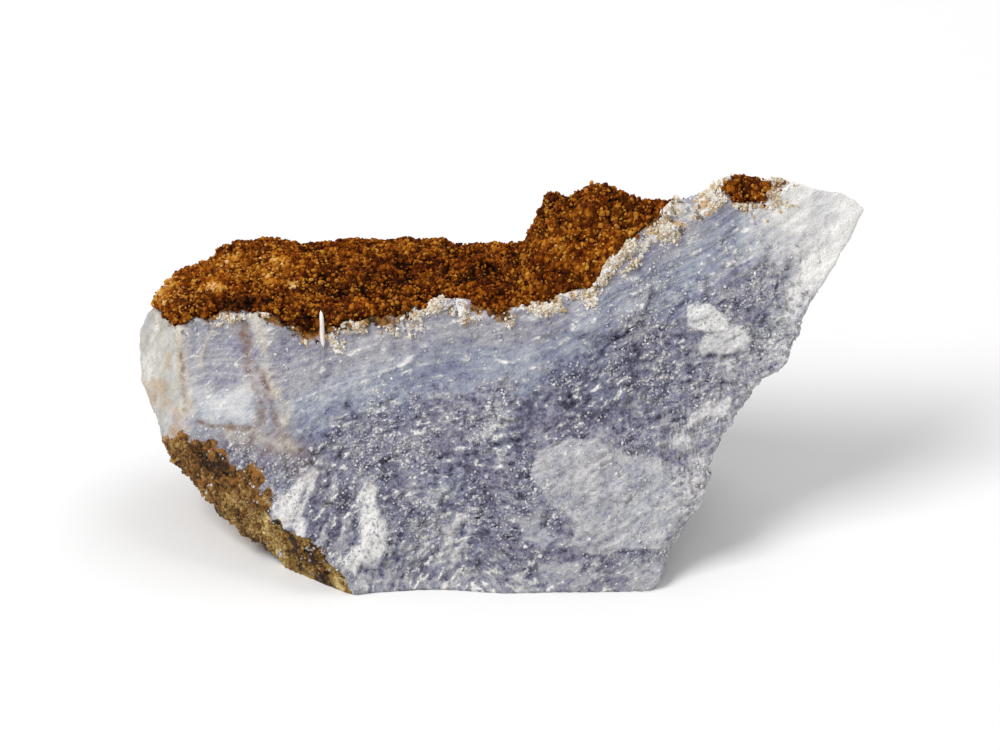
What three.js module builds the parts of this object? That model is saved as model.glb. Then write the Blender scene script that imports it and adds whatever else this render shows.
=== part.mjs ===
// A rough piece of blue lace agate, broken from a vein: one stone, with an iron crust
// along its top that is the old wall of the vein. It rests on one flat broken face.
//
// Everything is in millimetres, +Z up, with the resting face at Z = 0.
// Most breaks are given in the frame of the broad front face, which leans back:
//   across  to the right, the same as X
//   rise    up the slope of the face
//   out     away from the face, towards a viewer who looks straight at it
import * as THREE from "three";
import { mergeVertices } from "three/addons/utils/BufferGeometryUtils.js";

// Driving dimensions
const faceLean = THREE.MathUtils.degToRad(35); // how far the front face looks up
const faceHeight = 12.53; // of the face frame's origin above the resting face
const faceBack = -3; // Y of that origin, which centres the stone over its foot
const faceShift = 0.2; // X of that origin
const edgeRound = 0.4; // how much the break edges are worn

// The old wall of the vein, which the crust covers
const wall = {
  backY: 8.8, // of its back edge
  height: 16.7, // on the left
  shoulderX: -17, // left of this it falls off
  shoulderFall: 0.02,
  knobRise: 6.1, // how much higher it stands where the crust is a thick knob
  knobX: 4.6, // where the knob's crest begins
  knobSkew: 0.37, // how much the crest comes forward as it runs to the right
  knobWidth: 2.7, // from the crest's end to the knob's foot on the left
  knobSpread: 0.4, // and how much wider that gets towards the front
  knobDepth: 8, // from the crest to the knob's foot in front
  ridgeX: [14.4, 18.4], // where the wall rises once more
  ridgeRise: 1.9,
};
const crust = {
  thickness: 0.9,
  lumpHeight: 0.45,
  lumpSize: 2.3,
  proud: 0.5, // how far it stands out over the breaks below it
  proudX: [-4, 12, 17], // the middle of that part, and how far from it the ledge starts and ends to fade
};
const unevenness = [
  { height: 0.22, size: 6 },
  { height: 0.15, size: 2.9 },
];
const footFade = 1.5; // the skin gets even within this height above the foot

const v3 = (x, y, z) => new THREE.Vector3(x, y, z);

// The face frame's axes
const rise = v3(0, Math.sin(faceLean), Math.cos(faceLean));
const out = v3(0, -Math.cos(faceLean), Math.sin(faceLean));
const faceOrigin = v3(faceShift, faceBack, faceHeight);

// A point given as across, rise, out
function onFace(across, up, outwards = 0) {
  const point = faceOrigin.clone().addScaledVector(rise, up).addScaledVector(out, outwards);
  return point.setX(faceShift + across);
}

// A direction given as across, rise, out
function faceDirection(across, up, outwards) {
  const direction = v3(0, 0, 0).addScaledVector(rise, up).addScaledVector(out, outwards);
  return direction.setX(across).normalize();
}

// A flat break: all of the stone lies on the inner side of it
function flatBreak(point, normal) {
  return { normal: normal.normalize(), offset: normal.dot(point) };
}

const breaks = [
  // the broad front face, and two flats that barely turn away from it
  flatBreak(onFace(0, 0, 0), faceDirection(0, 0, 1)),
  flatBreak(onFace(2, -9, -0.05), faceDirection(0.02, -0.07, 1)),
  flatBreak(onFace(19, 9, -0.05), faceDirection(0.09, 0.02, 1)),
  // the window flat and the pale flat on the left end, and the left shoulder above them
  flatBreak(onFace(-18.2, 1.25, 0), faceDirection(-0.32, -0.117, 0.94)),
  flatBreak(onFace(-23.7, 2, -1.8), faceDirection(-0.82, -0.055, 0.57)),
  flatBreak(onFace(-27.4, 2, -5.8), faceDirection(-0.95, 0, -0.3)),
  flatBreak(onFace(-25.5, -2.6, -5), faceDirection(-0.87, -0.46, -0.2)),
  flatBreak(onFace(-25.6, 7.7, 0), faceDirection(-0.83, 0.56, -0.1)),
  // the rusty joint on the lower left, and the break under it
  flatBreak(onFace(-17, -8.6, 0), faceDirection(-0.56, -0.53, 0.637)),
  flatBreak(onFace(-19.6, -10.1, -3.9), faceDirection(-0.62, -0.66, -0.42)),
  // the long break on the right, which runs up to the tip
  flatBreak(onFace(27, 13.3, 0), faceDirection(0.842, -0.472, -0.259)),
  flatBreak(onFace(25.2, 14.6, 0), faceDirection(0.58, 0.81, -0.1)),
  // behind the tip, and the back
  flatBreak(onFace(27, 14.3, -1), v3(0.12, 0.98, 0.1)),
  flatBreak(onFace(-6, 10.7, -6.9), v3(0.05, 0.98, 0.18)),
  flatBreak(v3(-18, 9.3, 17), v3(-0.34, 0.93, 0.15)),
  // the undersides, at the back
  flatBreak(v3(14, 8, 8), v3(0.35, 0.75, -0.56)),
  flatBreak(v3(-15, 9, 6), v3(-0.4, 0.7, -0.59)),
];

// A shell-shaped scar where a flake came off: a shallow dish cut by a ball
function scar(point, normal, ballRadius, depth) {
  return { centre: point.addScaledVector(normal.normalize(), ballRadius - depth), ballRadius };
}

const scars = [
  // on the front face and along its edges
  scar(onFace(-6, 0.5, 0), faceDirection(0, 0, 1), 50, 0.6),
  scar(onFace(12, -3, 0), faceDirection(0.05, 0, 1), 40, 0.6),
  scar(onFace(-5, -13, 0), faceDirection(0, -0.1, 1), 22, 0.7),
  scar(onFace(-8.5, -15.6, 0), faceDirection(0, -0.6, 0.8), 5, 0.8),
  scar(onFace(4, -15.6, 0), faceDirection(0, -0.6, 0.8), 7, 0.7),
  scar(onFace(12, -12, 0), faceDirection(0.8, -0.2, 0.6), 6, 0.6),
  scar(onFace(18, -1.5, 0), faceDirection(0.8, -0.4, 0.5), 6, 0.8),
  scar(onFace(22.6, 6, 0), faceDirection(0.8, -0.4, 0.5), 9, 0.4),
  scar(onFace(-21, 1.5, -1.2), faceDirection(-0.3, 0, 0.94), 16, 0.5),
  scar(onFace(-17.9, -12, -3.5), faceDirection(-0.6, -0.75, 0.1), 4, 0.7),
  // dips in the ridge, left and right of the knob
  scar(v3(-6.9, 8.4, 18.4), v3(0, 0.35, 0.93), 6, 0.9),
  scar(v3(11.8, 7.4, 23.3), v3(0, 0.6, 0.8), 5, 1),
  // on the right, the back and the undersides
  scar(onFace(17, -2, -5), faceDirection(0.8, -0.5, -0.3), 24, 1.6),
  scar(onFace(22, 8, -4), faceDirection(0.7, -0.5, -0.5), 12, 1.0),
  scar(v3(3, 10.1, 8), v3(0.1, 1, 0), 20, 1.7),
  scar(v3(-12, 10.6, 11), v3(-0.2, 1, 0), 16, 1.6),
  scar(v3(15, 8.1, 15), v3(0.2, 1, 0.1), 18, 1.2),
  scar(v3(-25.8, 7.5, 10), v3(-0.95, 0.25, -0.17), 7, 0.8),
];

function smoothStep(low, high, x) {
  const t = THREE.MathUtils.clamp((x - low) / (high - low), 0, 1);
  return t * t * (3 - 2 * t);
}

// The larger of two distances, with the edge where they meet rounded off
function roundedMax(a, b) {
  const near = Math.max(edgeRound - Math.abs(a - b), 0) / edgeRound;
  return Math.max(a, b) + (near * near * edgeRound) / 4;
}

// A repeatable random value for each point of a whole-number grid, from -1 to 1
function gridValue(x, y, z) {
  const s = Math.sin(x * 127.1 + y * 311.7 + z * 74.7) * 43758.5453;
  return 2 * (s - Math.floor(s)) - 1;
}

// Smooth random hills: grid values blended between the eight corners around a point
function hills(p, size) {
  const [x, y, z] = [p.x / size, p.y / size, p.z / size];
  const [x0, y0, z0] = [Math.floor(x), Math.floor(y), Math.floor(z)];
  let sum = 0;
  for (let corner = 0; corner < 8; corner++) {
    const [i, j, k] = [corner & 1, (corner >> 1) & 1, corner >> 2];
    const wx = smoothStep(0, 1, i ? x - x0 : 1 - x + x0);
    const wy = smoothStep(0, 1, j ? y - y0 : 1 - y + y0);
    const wz = smoothStep(0, 1, k ? z - z0 : 1 - z + z0);
    sum += wx * wy * wz * gridValue(x0 + i, y0 + j, z0 + k);
  }
  return sum;
}

// Height of the vein wall at a place: it falls off at the left end, rises to a knob whose
// crest runs along the back to the right, and rises once more to the ridge on the right
function wallAt(x, y) {
  const left = Math.max(0, wall.knobX - x);
  const ahead = Math.max(0, wall.backY - wall.knobSkew * Math.max(0, x - wall.knobX) - y);
  const width = wall.knobWidth + wall.knobSpread * ahead;
  const fromCrest = Math.hypot(left / width, ahead / wall.knobDepth);
  const knob = wall.knobRise * smoothStep(1.05, 0.15, fromCrest);
  const ridge = wall.ridgeRise * smoothStep(...wall.ridgeX, x);
  const shoulder = wall.shoulderFall * Math.max(0, wall.shoulderX - x) ** 2;
  return wall.height + knob + ridge - shoulder;
}

// How far the crust stands out over the breaks, as a ledge all along its lower edge
function ledge(p, aboveWall, lumps) {
  const [middle, start, end] = crust.proudX;
  const along = smoothStep(end, start, Math.abs(p.x - middle));
  return (crust.proud + lumps) * along * smoothStep(-crust.thickness, -0.2, aboveWall);
}

// Negative inside the stone, positive outside, about zero on its skin
function skin(p) {
  const lumps = crust.lumpHeight * (hills(p, crust.lumpSize) + 0.5 * hills(p, 0.6 * crust.lumpSize));
  const aboveWall = p.z - wallAt(p.x, p.y);
  let distance = -Infinity;
  for (const { normal, offset } of breaks) {
    distance = roundedMax(distance, normal.dot(p) - offset);
  }
  distance = roundedMax(distance - ledge(p, aboveWall, lumps), aboveWall - crust.thickness - lumps);
  for (const { centre, ballRadius } of scars) {
    distance = roundedMax(distance, ballRadius - p.distanceTo(centre));
  }
  const uneven = unevenness.reduce((sum, { height, size }) => sum + height * hills(p, size), 0);
  return Math.max(distance + uneven * smoothStep(0, footFade, p.z), -p.z);
}

// The stone is long, so its skin is found along rays that fan out from a line inside it
const spineMiddle = v3(0, 1.25, 13);
const spineHalf = v3(15, 0.25, 3.5);
const spread = v3(12, 13, 13); // stretches the fan, so that the rays are even over the skin
const rayEnd = 2.5; // in these stretched units, outside the stone in every direction

// The point of the skin along one of the rays, by halving the stretch that it is in
function skinAlong(direction) {
  const from = spineMiddle.clone().addScaledVector(spineHalf, direction.x);
  const ray = direction.clone().multiply(spread);
  const p = v3();
  let inside = 0;
  let outside = rayEnd;
  for (let halving = 0; halving < 30; halving++) {
    const middle = (inside + outside) / 2;
    p.copy(from).addScaledVector(ray, middle);
    if (skin(p) < 0) inside = middle;
    else outside = middle;
  }
  return p;
}

// The skin's outward direction at a point
function slopeAt(p) {
  const step = 0.02;
  const along = (axis) => {
    const ahead = p.clone();
    const behind = p.clone();
    ahead[axis] += step;
    behind[axis] -= step;
    return skin(ahead) - skin(behind);
  };
  return v3(along("x"), along("y"), along("z")).normalize();
}

// The point nearest to a set of tangent planes, kept close to their middle: it lands on
// the edge or corner where breaks meet, so the mesh follows every edge
function sharpPoint(points, normals) {
  const middle = v3();
  points.forEach((q) => middle.addScaledVector(q, 1 / points.length));
  const reach = points.reduce((sum, q) => sum + q.distanceTo(middle), 0) / points.length;
  const hold = 0.06; // pulls the point to the middle where the planes leave it free
  const m = [hold, 0, 0, 0, hold, 0, 0, 0, hold];
  const side = v3();
  points.forEach((q, i) => {
    const n = normals[i].toArray();
    side.addScaledVector(normals[i], normals[i].dot(q.clone().sub(middle)));
    for (let cell = 0; cell < 9; cell++) m[cell] += n[Math.floor(cell / 3)] * n[cell % 3];
  });
  const solve = new THREE.Matrix3().set(...m).invert();
  return side.applyMatrix3(solve).clampLength(0, reach).add(middle);
}

// The stone's mesh: a ball of triangles pushed out to the skin, with each vertex then set
// on the nearest sharp feature of the patch around it
function stoneGeometry(detail) {
  const ball = new THREE.IcosahedronGeometry(1, detail);
  ball.deleteAttribute("normal");
  ball.deleteAttribute("uv");
  const geometry = mergeVertices(ball, 1e-4);
  const position = geometry.getAttribute("position");
  const corners = geometry.index.array;
  const directions = [];
  for (let i = 0; i < position.count; i++) directions.push(v3().fromBufferAttribute(position, i));

  const around = directions.map(() => ({ points: [], normals: [] }));
  for (let i = 0; i < corners.length; i += 3) {
    const triangle = [corners[i], corners[i + 1], corners[i + 2]];
    const centre = v3();
    triangle.forEach((v) => centre.add(directions[v]));
    const point = skinAlong(centre.normalize());
    const normal = slopeAt(point);
    triangle.forEach((v) => {
      around[v].points.push(point);
      around[v].normals.push(normal);
    });
  }
  const footSnap = 0.05; // the foot is one flat plane
  around.forEach(({ points, normals }, i) => {
    const p = sharpPoint(points, normals);
    position.setXYZ(i, p.x, p.y, p.z < footSnap ? 0 : p.z);
  });
  geometry.computeVertexNormals();
  return geometry;
}

const chalcedony = new THREE.MeshStandardMaterial({ color: 0x9c9eb0, roughness: 0.55, metalness: 0 });
const agate = new THREE.Mesh(stoneGeometry(20), chalcedony);
agate.name = "agate";

const stone = new THREE.Group();
stone.add(agate);

export default stone;
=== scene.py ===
import bpy
import numpy as np
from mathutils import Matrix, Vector


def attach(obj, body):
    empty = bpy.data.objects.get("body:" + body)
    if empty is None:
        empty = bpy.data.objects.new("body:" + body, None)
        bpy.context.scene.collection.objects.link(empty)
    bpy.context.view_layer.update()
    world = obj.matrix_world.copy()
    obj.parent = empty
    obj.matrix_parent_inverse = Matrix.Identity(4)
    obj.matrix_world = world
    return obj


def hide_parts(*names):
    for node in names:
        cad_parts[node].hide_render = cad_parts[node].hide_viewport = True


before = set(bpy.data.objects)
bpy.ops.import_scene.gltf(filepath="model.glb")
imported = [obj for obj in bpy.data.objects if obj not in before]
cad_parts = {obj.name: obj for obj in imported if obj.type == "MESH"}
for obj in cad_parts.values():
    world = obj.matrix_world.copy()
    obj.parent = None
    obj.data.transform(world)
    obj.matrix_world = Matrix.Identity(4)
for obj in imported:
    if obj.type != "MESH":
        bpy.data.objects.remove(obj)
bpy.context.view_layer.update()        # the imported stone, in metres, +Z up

mm = 0.001
rng = np.random.default_rng(11)  # one seed, so that every run gives the same stone


# small maths that every surface below uses

def ease(low, high, x):
    # 3t^2 - 2t^3, with t running from 0 at low to 1 at high
    t = np.clip((x - low) / (high - low), 0, 1)
    return t * t * (3 - 2 * t)


def rand(cell, salt=0.0):
    # one random number from -1 to 1 for each cell of a grid
    s = np.sin(cell @ np.array([127.1, 311.7, 74.7]) + salt) * 43758.5453
    return 2 * (s - np.floor(s)) - 1


def hills(p, size):
    # random values on a grid of that size, blended smoothly between the eight corners round each point
    q = p / size
    cell = np.floor(q)
    t = ease(0, 1, q - cell)
    total = np.zeros(p.shape[:-1])
    for corner in np.ndindex(2, 2, 2):
        total += np.prod(np.where(np.array(corner) == 1, t, 1 - t), axis=-1) * rand(cell + corner)
    return total


def cells(p, size):
    # the nearest of points strewn one to a cell: how far it is, as a share of the cell's size, the way from
    # it in millimetres, and three random numbers of its own
    q = p / size
    cell = np.floor(q)
    nearest, away, own = np.full(p.shape[:-1], 9.0), np.zeros(p.shape), np.zeros(p.shape)
    for shift in np.ndindex(3, 3, 3):
        near = cell + shift - 1
        random = np.stack([rand(near, salt) for salt in (1.7, 5.1, 9.3)], -1)
        offset = q - near - 0.5 - 0.4 * random
        distance = np.linalg.norm(offset, axis=-1)
        closer = distance < nearest
        nearest = np.where(closer, distance, nearest)
        away[closer] = offset[closer] * size
        own[closer] = random[closer]
    return nearest, away, own


def grainTops(p, size):
    # how high the nearest grain's ball stands, as a share of its cell: sqrt(0.49 - distance^2), and its own
    # number; small hills push each ball out of shape
    bent = p + 0.25 * size * np.stack([hills(p + shift, 0.7 * size) for shift in (0, 17, 31)], -1)
    distance, _, own = cells(bent, size)
    return np.sqrt(np.maximum(0, 0.49 - distance ** 2)) * (0.8 + 0.3 * own[..., 0]), own[..., 1]


def roundedMax(a, b, width):
    # the larger of two distances, plus near^2 width / 4 where they are closer than width: a worn edge
    near = np.maximum(width - np.abs(a - b), 0) / width
    return np.maximum(a, b) + near * near * width / 4


# the stone's form, in millimetres
# the face frame lies in the broad front face: across is X, rise runs up the face, out points away from it
form = {
    "faceLean": 35.0,         # how far the front face looks up, in degrees
    "faceOrigin": (0.2, -3.0, 12.53),
    "edgeRound": 0.35,        # how worn the break edges are
    "unevenness": ((0.22, 6.0), (0.15, 2.9)),  # height and size of the broad hills on every break
    "footFade": 1.5,          # the skin gets even this close above the foot
}
wall = {                      # the old wall of the vein, which the crust covers
    "backY": 8.8, "height": 16.7, "shoulderX": -17, "shoulderFall": 0.02,
    "knobRise": 6.1, "knobX": 4.6, "knobSkew": 0.37, "knobWidth": 2.7, "knobSpread": 0.4, "knobDepth": 8,
    "ridgeX": (14.4, 18.4), "ridgeRise": 1.9,
}
crust = {
    "thickness": 0.9, "lumpHeight": 0.45, "lumpSize": 2.3,
    "proud": 0.5, "proudX": (-4, 12, 17),      # the ledge over the face, its middle and where it fades
    # its lower edge on the front, as points across and up the face
    "edge": ((-27, 6.5), (-25.5, 6.2), (-23.6, 6.1), (-20.4, 6.1), (-18.7, 6.3), (-17.1, 5.5), (-15.5, 4.6),
             (-14, 4.3), (-12.7, 4.8), (-11.3, 5.3), (-8.1, 5.5), (-5.8, 6.1), (-4.6, 6.9), (-3, 6.9),
             (-1.9, 6.1), (-0.3, 5.9), (3.2, 6.7), (6.7, 7.8), (7.5, 9.2), (9.8, 11.7), (11.4, 12.9),
             (12.6, 14.2), (14, 20)),
    "endX": 13.2,                              # right of this the wall is bare
    "hang": 0.5,                               # how far it reaches down behind
    "sway": (1.6, 2.4, 7.5, 9),                # steps of its edge there: how far, how long, between which y
    "patch": (17.9, 14.9, 1.8, 1.0),           # the rusty patch on the ridge: across, rise and half its size
    "ragged": ((0.32, 1.7), (0.26, 0.8), (0.18, 0.4)),
    # how much cream quartz shows under its edge, along the face
    "fringe": ((-26, 0.5), (-23, 0.3), (-20, 0.5), (-16, 0.4), (-14, 0.9), (-11, 1.1), (-9.5, 0.5), (-8, 0.6),
               (-5.5, 0.6), (-4.5, 1.1), (-2.5, 1.1), (-1, 0.4), (0.5, 0.7), (7, 0.7), (8, 1.2), (13.5, 1.3),
               (20, 1.2), (21, 0)),
}

lean = np.radians(form["faceLean"])
riseAxis = np.array([0, np.sin(lean), np.cos(lean)])
outAxis = np.array([0, -np.cos(lean), np.sin(lean)])
faceOrigin = np.array(form["faceOrigin"])


def faceWay(across, up, out):
    # a way given in the face frame: across X + up rise + out outwards
    return np.array([across, 0, 0]) + up * riseAxis + out * outAxis


def onFace(across, up, out=0.0):
    # a point given in the face frame: its way from the frame's origin
    return faceOrigin + faceWay(across, up, out)


# flat breaks, each a point on it and the way it looks: all of the stone lies behind every one
breaks = {
    "front": (onFace(0, 0), faceWay(0, 0, 1)),
    "frontLow": (onFace(2, -9, -0.05), faceWay(0.02, -0.07, 1)),
    "frontRight": (onFace(19, 9, -0.05), faceWay(0.09, 0.02, 1)),
    "window": (onFace(-18.2, 1.25), faceWay(-0.32, -0.117, 0.94)),
    "paleFlat": (onFace(-23.7, 2, -1.8), faceWay(-0.82, -0.055, 0.57)),
    "leftEnd": (onFace(-27.4, 2, -5.8), faceWay(-0.95, 0, -0.3)),
    "leftLow": (onFace(-25.5, -2.6, -5), faceWay(-0.87, -0.46, -0.2)),
    "shoulder": (onFace(-25.6, 7.7), faceWay(-0.83, 0.56, -0.1)),
    "rustyJoint": (onFace(-17, -8.6), faceWay(-0.56, -0.53, 0.637)),
    "underJoint": (onFace(-19.6, -10.1, -3.9), faceWay(-0.62, -0.66, -0.42)),
    "right": (onFace(27, 13.3), faceWay(0.842, -0.472, -0.259)),
    "tip": (onFace(25.2, 14.6), faceWay(0.58, 0.81, -0.1)),
    "behindTip": (onFace(27, 14.3, -1), (0.12, 0.98, 0.1)),
    "back": (onFace(-6, 10.7, -6.9), (0.05, 0.98, 0.18)),
    "backLeft": ((-18, 9.3, 17), (-0.34, 0.93, 0.15)),
    "underRight": ((14, 8, 8), (0.35, 0.75, -0.56)),
    "underLeft": ((-15, 9, 6), (-0.4, 0.7, -0.59)),
}
# shell-shaped scars: a point on the skin, the way it looks, the ball that cuts it and how deep
scars = (
    (onFace(-6, 0.5), faceWay(0, 0, 1), 50, 0.6),
    (onFace(12, -3), faceWay(0.05, 0, 1), 40, 0.6),
    (onFace(-5, -13), faceWay(0, -0.1, 1), 22, 0.7),
    (onFace(-8.5, -15.6), faceWay(0, -0.6, 0.8), 5, 0.8),
    (onFace(4, -15.6), faceWay(0, -0.6, 0.8), 7, 0.7),
    (onFace(12, -12), faceWay(0.8, -0.2, 0.6), 6, 0.6),
    (onFace(18, -1.5), faceWay(0.8, -0.4, 0.5), 6, 0.8),
    (onFace(22.6, 6), faceWay(0.8, -0.4, 0.5), 9, 0.4),
    (onFace(-21, 1.5, -1.2), faceWay(-0.3, 0, 0.94), 16, 0.5),
    (onFace(-17.9, -12, -3.5), faceWay(-0.6, -0.75, 0.1), 4, 0.7),
    ((-6.9, 8.4, 18.4), (0, 0.35, 0.93), 6, 0.9),
    ((11.8, 7.4, 23.3), (0, 0.6, 0.8), 5, 1.0),
    (onFace(17, -2, -5), faceWay(0.8, -0.5, -0.3), 24, 1.6),
    (onFace(22, 8, -4), faceWay(0.7, -0.5, -0.5), 12, 1.0),
    ((3, 10.1, 8), (0.1, 1, 0), 20, 1.7),
    ((-12, 10.6, 11), (-0.2, 1, 0), 16, 1.6),
    ((15, 8.1, 15), (0.2, 1, 0.1), 18, 1.2),
    ((-25.8, 7.5, 10), (-0.95, 0.25, -0.17), 7, 0.8),
)


def unit(v):
    # each way divided by its length
    v = np.asarray(v, float)
    return v / np.linalg.norm(v, axis=-1, keepdims=True)


def breakDistance(p, name):
    # signed distance from one break's plane: (p - point) . normal
    point, normal = breaks[name]
    return (p - np.asarray(point, float)) @ unit(normal)


def wallAt(x, y):
    # height of the vein wall: a level shelf, less a parabola at the left end, plus a knob that falls off
    # with the distance from its crest along the back, plus a last step up to the ridge on the right
    left = np.maximum(0, wall["knobX"] - x)
    ahead = np.maximum(0, wall["backY"] - wall["knobSkew"] * np.maximum(0, x - wall["knobX"]) - y)
    fromCrest = np.hypot(left / (wall["knobWidth"] + wall["knobSpread"] * ahead), ahead / wall["knobDepth"])
    knob = wall["knobRise"] * ease(1.05, 0.15, fromCrest)
    ridge = wall["ridgeRise"] * ease(*wall["ridgeX"], x)
    shoulder = wall["shoulderFall"] * np.maximum(0, wall["shoulderX"] - x) ** 2
    return wall["height"] + knob + ridge - shoulder


def skin(p):
    # negative inside the stone and positive outside: the largest of its distances from all breaks, the
    # crust's top and the scars' balls, each meeting rounded, plus broad hills
    lumps = crust["lumpHeight"] * (hills(p, crust["lumpSize"]) + 0.5 * hills(p, 0.6 * crust["lumpSize"]))
    aboveWall = p[..., 2] - wallAt(p[..., 0], p[..., 1])
    middle, start, end = crust["proudX"]
    ledge = (crust["proud"] + lumps) * ease(end, start, np.abs(p[..., 0] - middle))
    ledge = ledge * ease(-crust["thickness"], -0.2, aboveWall)
    distance = np.full(p.shape[:-1], -1e3)
    for name in breaks:
        distance = roundedMax(distance, breakDistance(p, name), form["edgeRound"])
    distance = roundedMax(distance - ledge, aboveWall - crust["thickness"] - lumps, form["edgeRound"])
    for point, way, ball, depth in scars:
        centre = np.asarray(point, float) + unit(way) * (ball - depth)
        distance = roundedMax(distance, ball - np.linalg.norm(p - centre, axis=-1), form["edgeRound"])
    uneven = sum(height * hills(p, size) for height, size in form["unevenness"])
    return np.maximum(distance + uneven * ease(0, form["footFade"], p[..., 2]), -p[..., 2])


grids = {
    "stone": {
        "rows": 330, "columns": 299, "seamAngle": 10,       # where the columns start
        "spineMiddle": (0, 1.25, 13), "spineHalf": (15, 0.25, 3.5), "spread": (12, 13, 13),
        "looks": 120, "samples": 240, "backWeight": 0.05,   # rows and columns of a first look
        "front": 1.0, "elsewhere": 0.4, "underCrust": 0.3,  # how close the columns lie
        "frontFrom": (-3.5, -1.5), "crustFrom": (0.2, 1.4),  # where each of these begins and is full
        "softenings": 60,
    },
    "crust": {
        "rows": 560, "columns": 174,
        "spineMiddle": (0, 5, 7), "spineHalf": (15, -1, 0), "spread": (12, 13, 13),
        "ends": (-0.86, 0.62), "angles": (38, 128),
    },
}


def rays(kit, endwards, angle):
    # the way of each ray is (e, r cos angle, r sin angle), r^2 = 1 - e^2; it starts on the spine at its e
    r = np.sqrt(1 - endwards ** 2)
    way = np.stack(np.broadcast_arrays(endwards, r * np.cos(angle), r * np.sin(angle)), -1)
    start = np.array(kit["spineMiddle"]) + way[..., :1] * np.array(kit["spineHalf"])
    return start, way * np.array(kit["spread"])


def stoneRays():
    # rows run from pole to pole, in even steps of the mean way between them on the front, found from a
    # first look; round each row the columns are even steps of its length, which counts more where they
    # should be closer
    kit = grids["stone"]
    angle = np.radians(kit["seamAngle"] + np.linspace(0, 360, kit["samples"]))[None, :]
    s = np.linspace(0, 1, kit["looks"])[:, None]
    look = pushOut(*rays(kit, -np.cos(np.pi * s), angle))
    weight = kit["backWeight"] + (inFace(look)[2][1:] > kit["frontFrom"][1])
    step = np.linalg.norm(np.diff(look, axis=0), axis=-1)
    far = np.concatenate([[0], np.cumsum(np.sqrt((step ** 2 * weight).sum(1) / weight.sum(1)))])
    s = np.interp(np.linspace(0, far[-1], kit["rows"]), far, s.ravel())[:, None]
    endwards = -np.cos(np.pi * s)
    ring = pushOut(*rays(kit, endwards, angle))
    onFront = ease(*kit["frontFrom"], inFace(ring)[2])
    share = kit["elsewhere"] + (kit["front"] - kit["elsewhere"]) * onFront
    share = share + (kit["underCrust"] - share) * ease(*kit["crustFrom"], crustDepth(ring, ragged=0))
    step = np.linalg.norm(np.diff(ring, axis=1), axis=-1) * share[:, 1:] + 1e-5
    # each row's length runs from 0 to 1, and the rows are set 2 apart, so that one call serves them all
    apart = 2 * np.arange(kit["rows"])[:, None]
    length = np.concatenate([np.zeros_like(s), np.cumsum(step, axis=1)], axis=1)
    length = length / length[:, -1:] + apart
    wanted = np.linspace(0, 1, kit["columns"], endpoint=False) + apart
    even = np.interp(wanted.ravel(), length.ravel(), np.broadcast_to(angle, length.shape).ravel())
    even = even.reshape(wanted.shape)
    for softening in range(kit["softenings"]):  # so that columns run smoothly from row to row
        even[1:-1] = (even[:-2] + 2 * even[1:-1] + even[2:]) / 4
    return rays(kit, endwards, even)


def crustRays():
    # a plain sheet of even steps, over the top only
    kit = grids["crust"]
    endwards = np.linspace(*kit["ends"], kit["rows"])[:, None]
    return rays(kit, endwards, np.radians(np.linspace(*kit["angles"], kit["columns"]))[None, :])


def pushOut(start, ray, reach=2.5, halvings=20):
    # the skin's point along each ray, by halving the stretch that it lies in, all rays at once
    inside, outside = np.zeros(ray.shape[:-1]), np.full(ray.shape[:-1], reach)
    for halving in range(halvings):
        middle = (inside + outside) / 2
        below = skin(start + ray * middle[..., None]) < 0
        inside, outside = np.where(below, middle, inside), np.where(below, outside, middle)
    return start + ray * outside[..., None]


def slopeOf(p, step=0.06):
    # the skin's outward way: the gradient of skin() by central differences
    return unit(np.stack([skin(p + s) - skin(p - s) for s in np.eye(3) * step], -1))


def inFace(p):
    # across, up and out: the points' places in the face frame
    return p[..., 0] - faceOrigin[0], (p - faceOrigin) @ riseAxis, (p - faceOrigin) @ outAxis


def crustDepth(p, ragged=1.0):
    # millimetres in from the crust's edge: on the front the height above the line through its points,
    # behind it the height above the wall, cut off at its right end, and joined with the small patch
    across, up, out = inFace(p)
    front = 0.8 * (up - np.interp(across, *np.array(crust["edge"]).T))
    far, size, start, end = crust["sway"]
    sway = far * hills(p, size) * ease(start, end, p[..., 1])
    behind = p[..., 2] - wallAt(p[..., 0] + sway, p[..., 1]) + crust["hang"]
    depth = front + (behind - front) * ease(-0.8, -2.5, out)
    depth = np.minimum(depth, crust["endX"] - p[..., 0])
    middle, level, halfLength, halfWidth = crust["patch"]
    patch = halfWidth * (1 - np.hypot((across - middle) / halfLength, (up - level) / halfWidth))
    patch = np.where(out > -4, patch, -9)
    uneven = sum(height * hills(p, size) for height, size in crust["ragged"])
    return np.maximum(depth, patch) + ragged * uneven


def flatten(grid):
    # a closed grid's values in the order of its vertices: pole, rows, pole
    return np.concatenate([grid[0, :1], grid[1:-1].reshape(-1, *grid.shape[2:]), grid[-1, :1]])


def triangles(*sets):
    # rows of three vertex numbers, from sets of first, second and third corners
    return np.concatenate([np.stack(np.broadcast_arrays(*corners), -1).reshape(-1, 3) for corners in sets])


def closedGrid(grid):
    # the triangles of a closed grid of points: the first and last row are single poles with a fan each, the
    # rows between wrap round, and every square is split along its shorter diagonal
    rows, columns = grid.shape[:2]
    index = 1 + np.arange((rows - 2) * columns).reshape(rows - 2, columns)
    a, b = index[:-1], index[1:]
    nextA, nextB = np.roll(a, -1, 1), np.roll(b, -1, 1)
    here, below = grid[1:-2], grid[2:-1]
    oneWay = np.linalg.norm(here - np.roll(below, -1, 1), axis=-1)
    otherWay = np.linalg.norm(below - np.roll(here, -1, 1), axis=-1)
    first, second = np.where(oneWay < otherWay, nextB, b), np.where(oneWay < otherWay, a, nextA)
    start, end = index[0], index[-1]
    return triangles((0, np.roll(start, -1), start), (a, nextA, first), (second, nextB, b),
                     (1 + index.size, end, np.roll(end, -1)))


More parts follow.
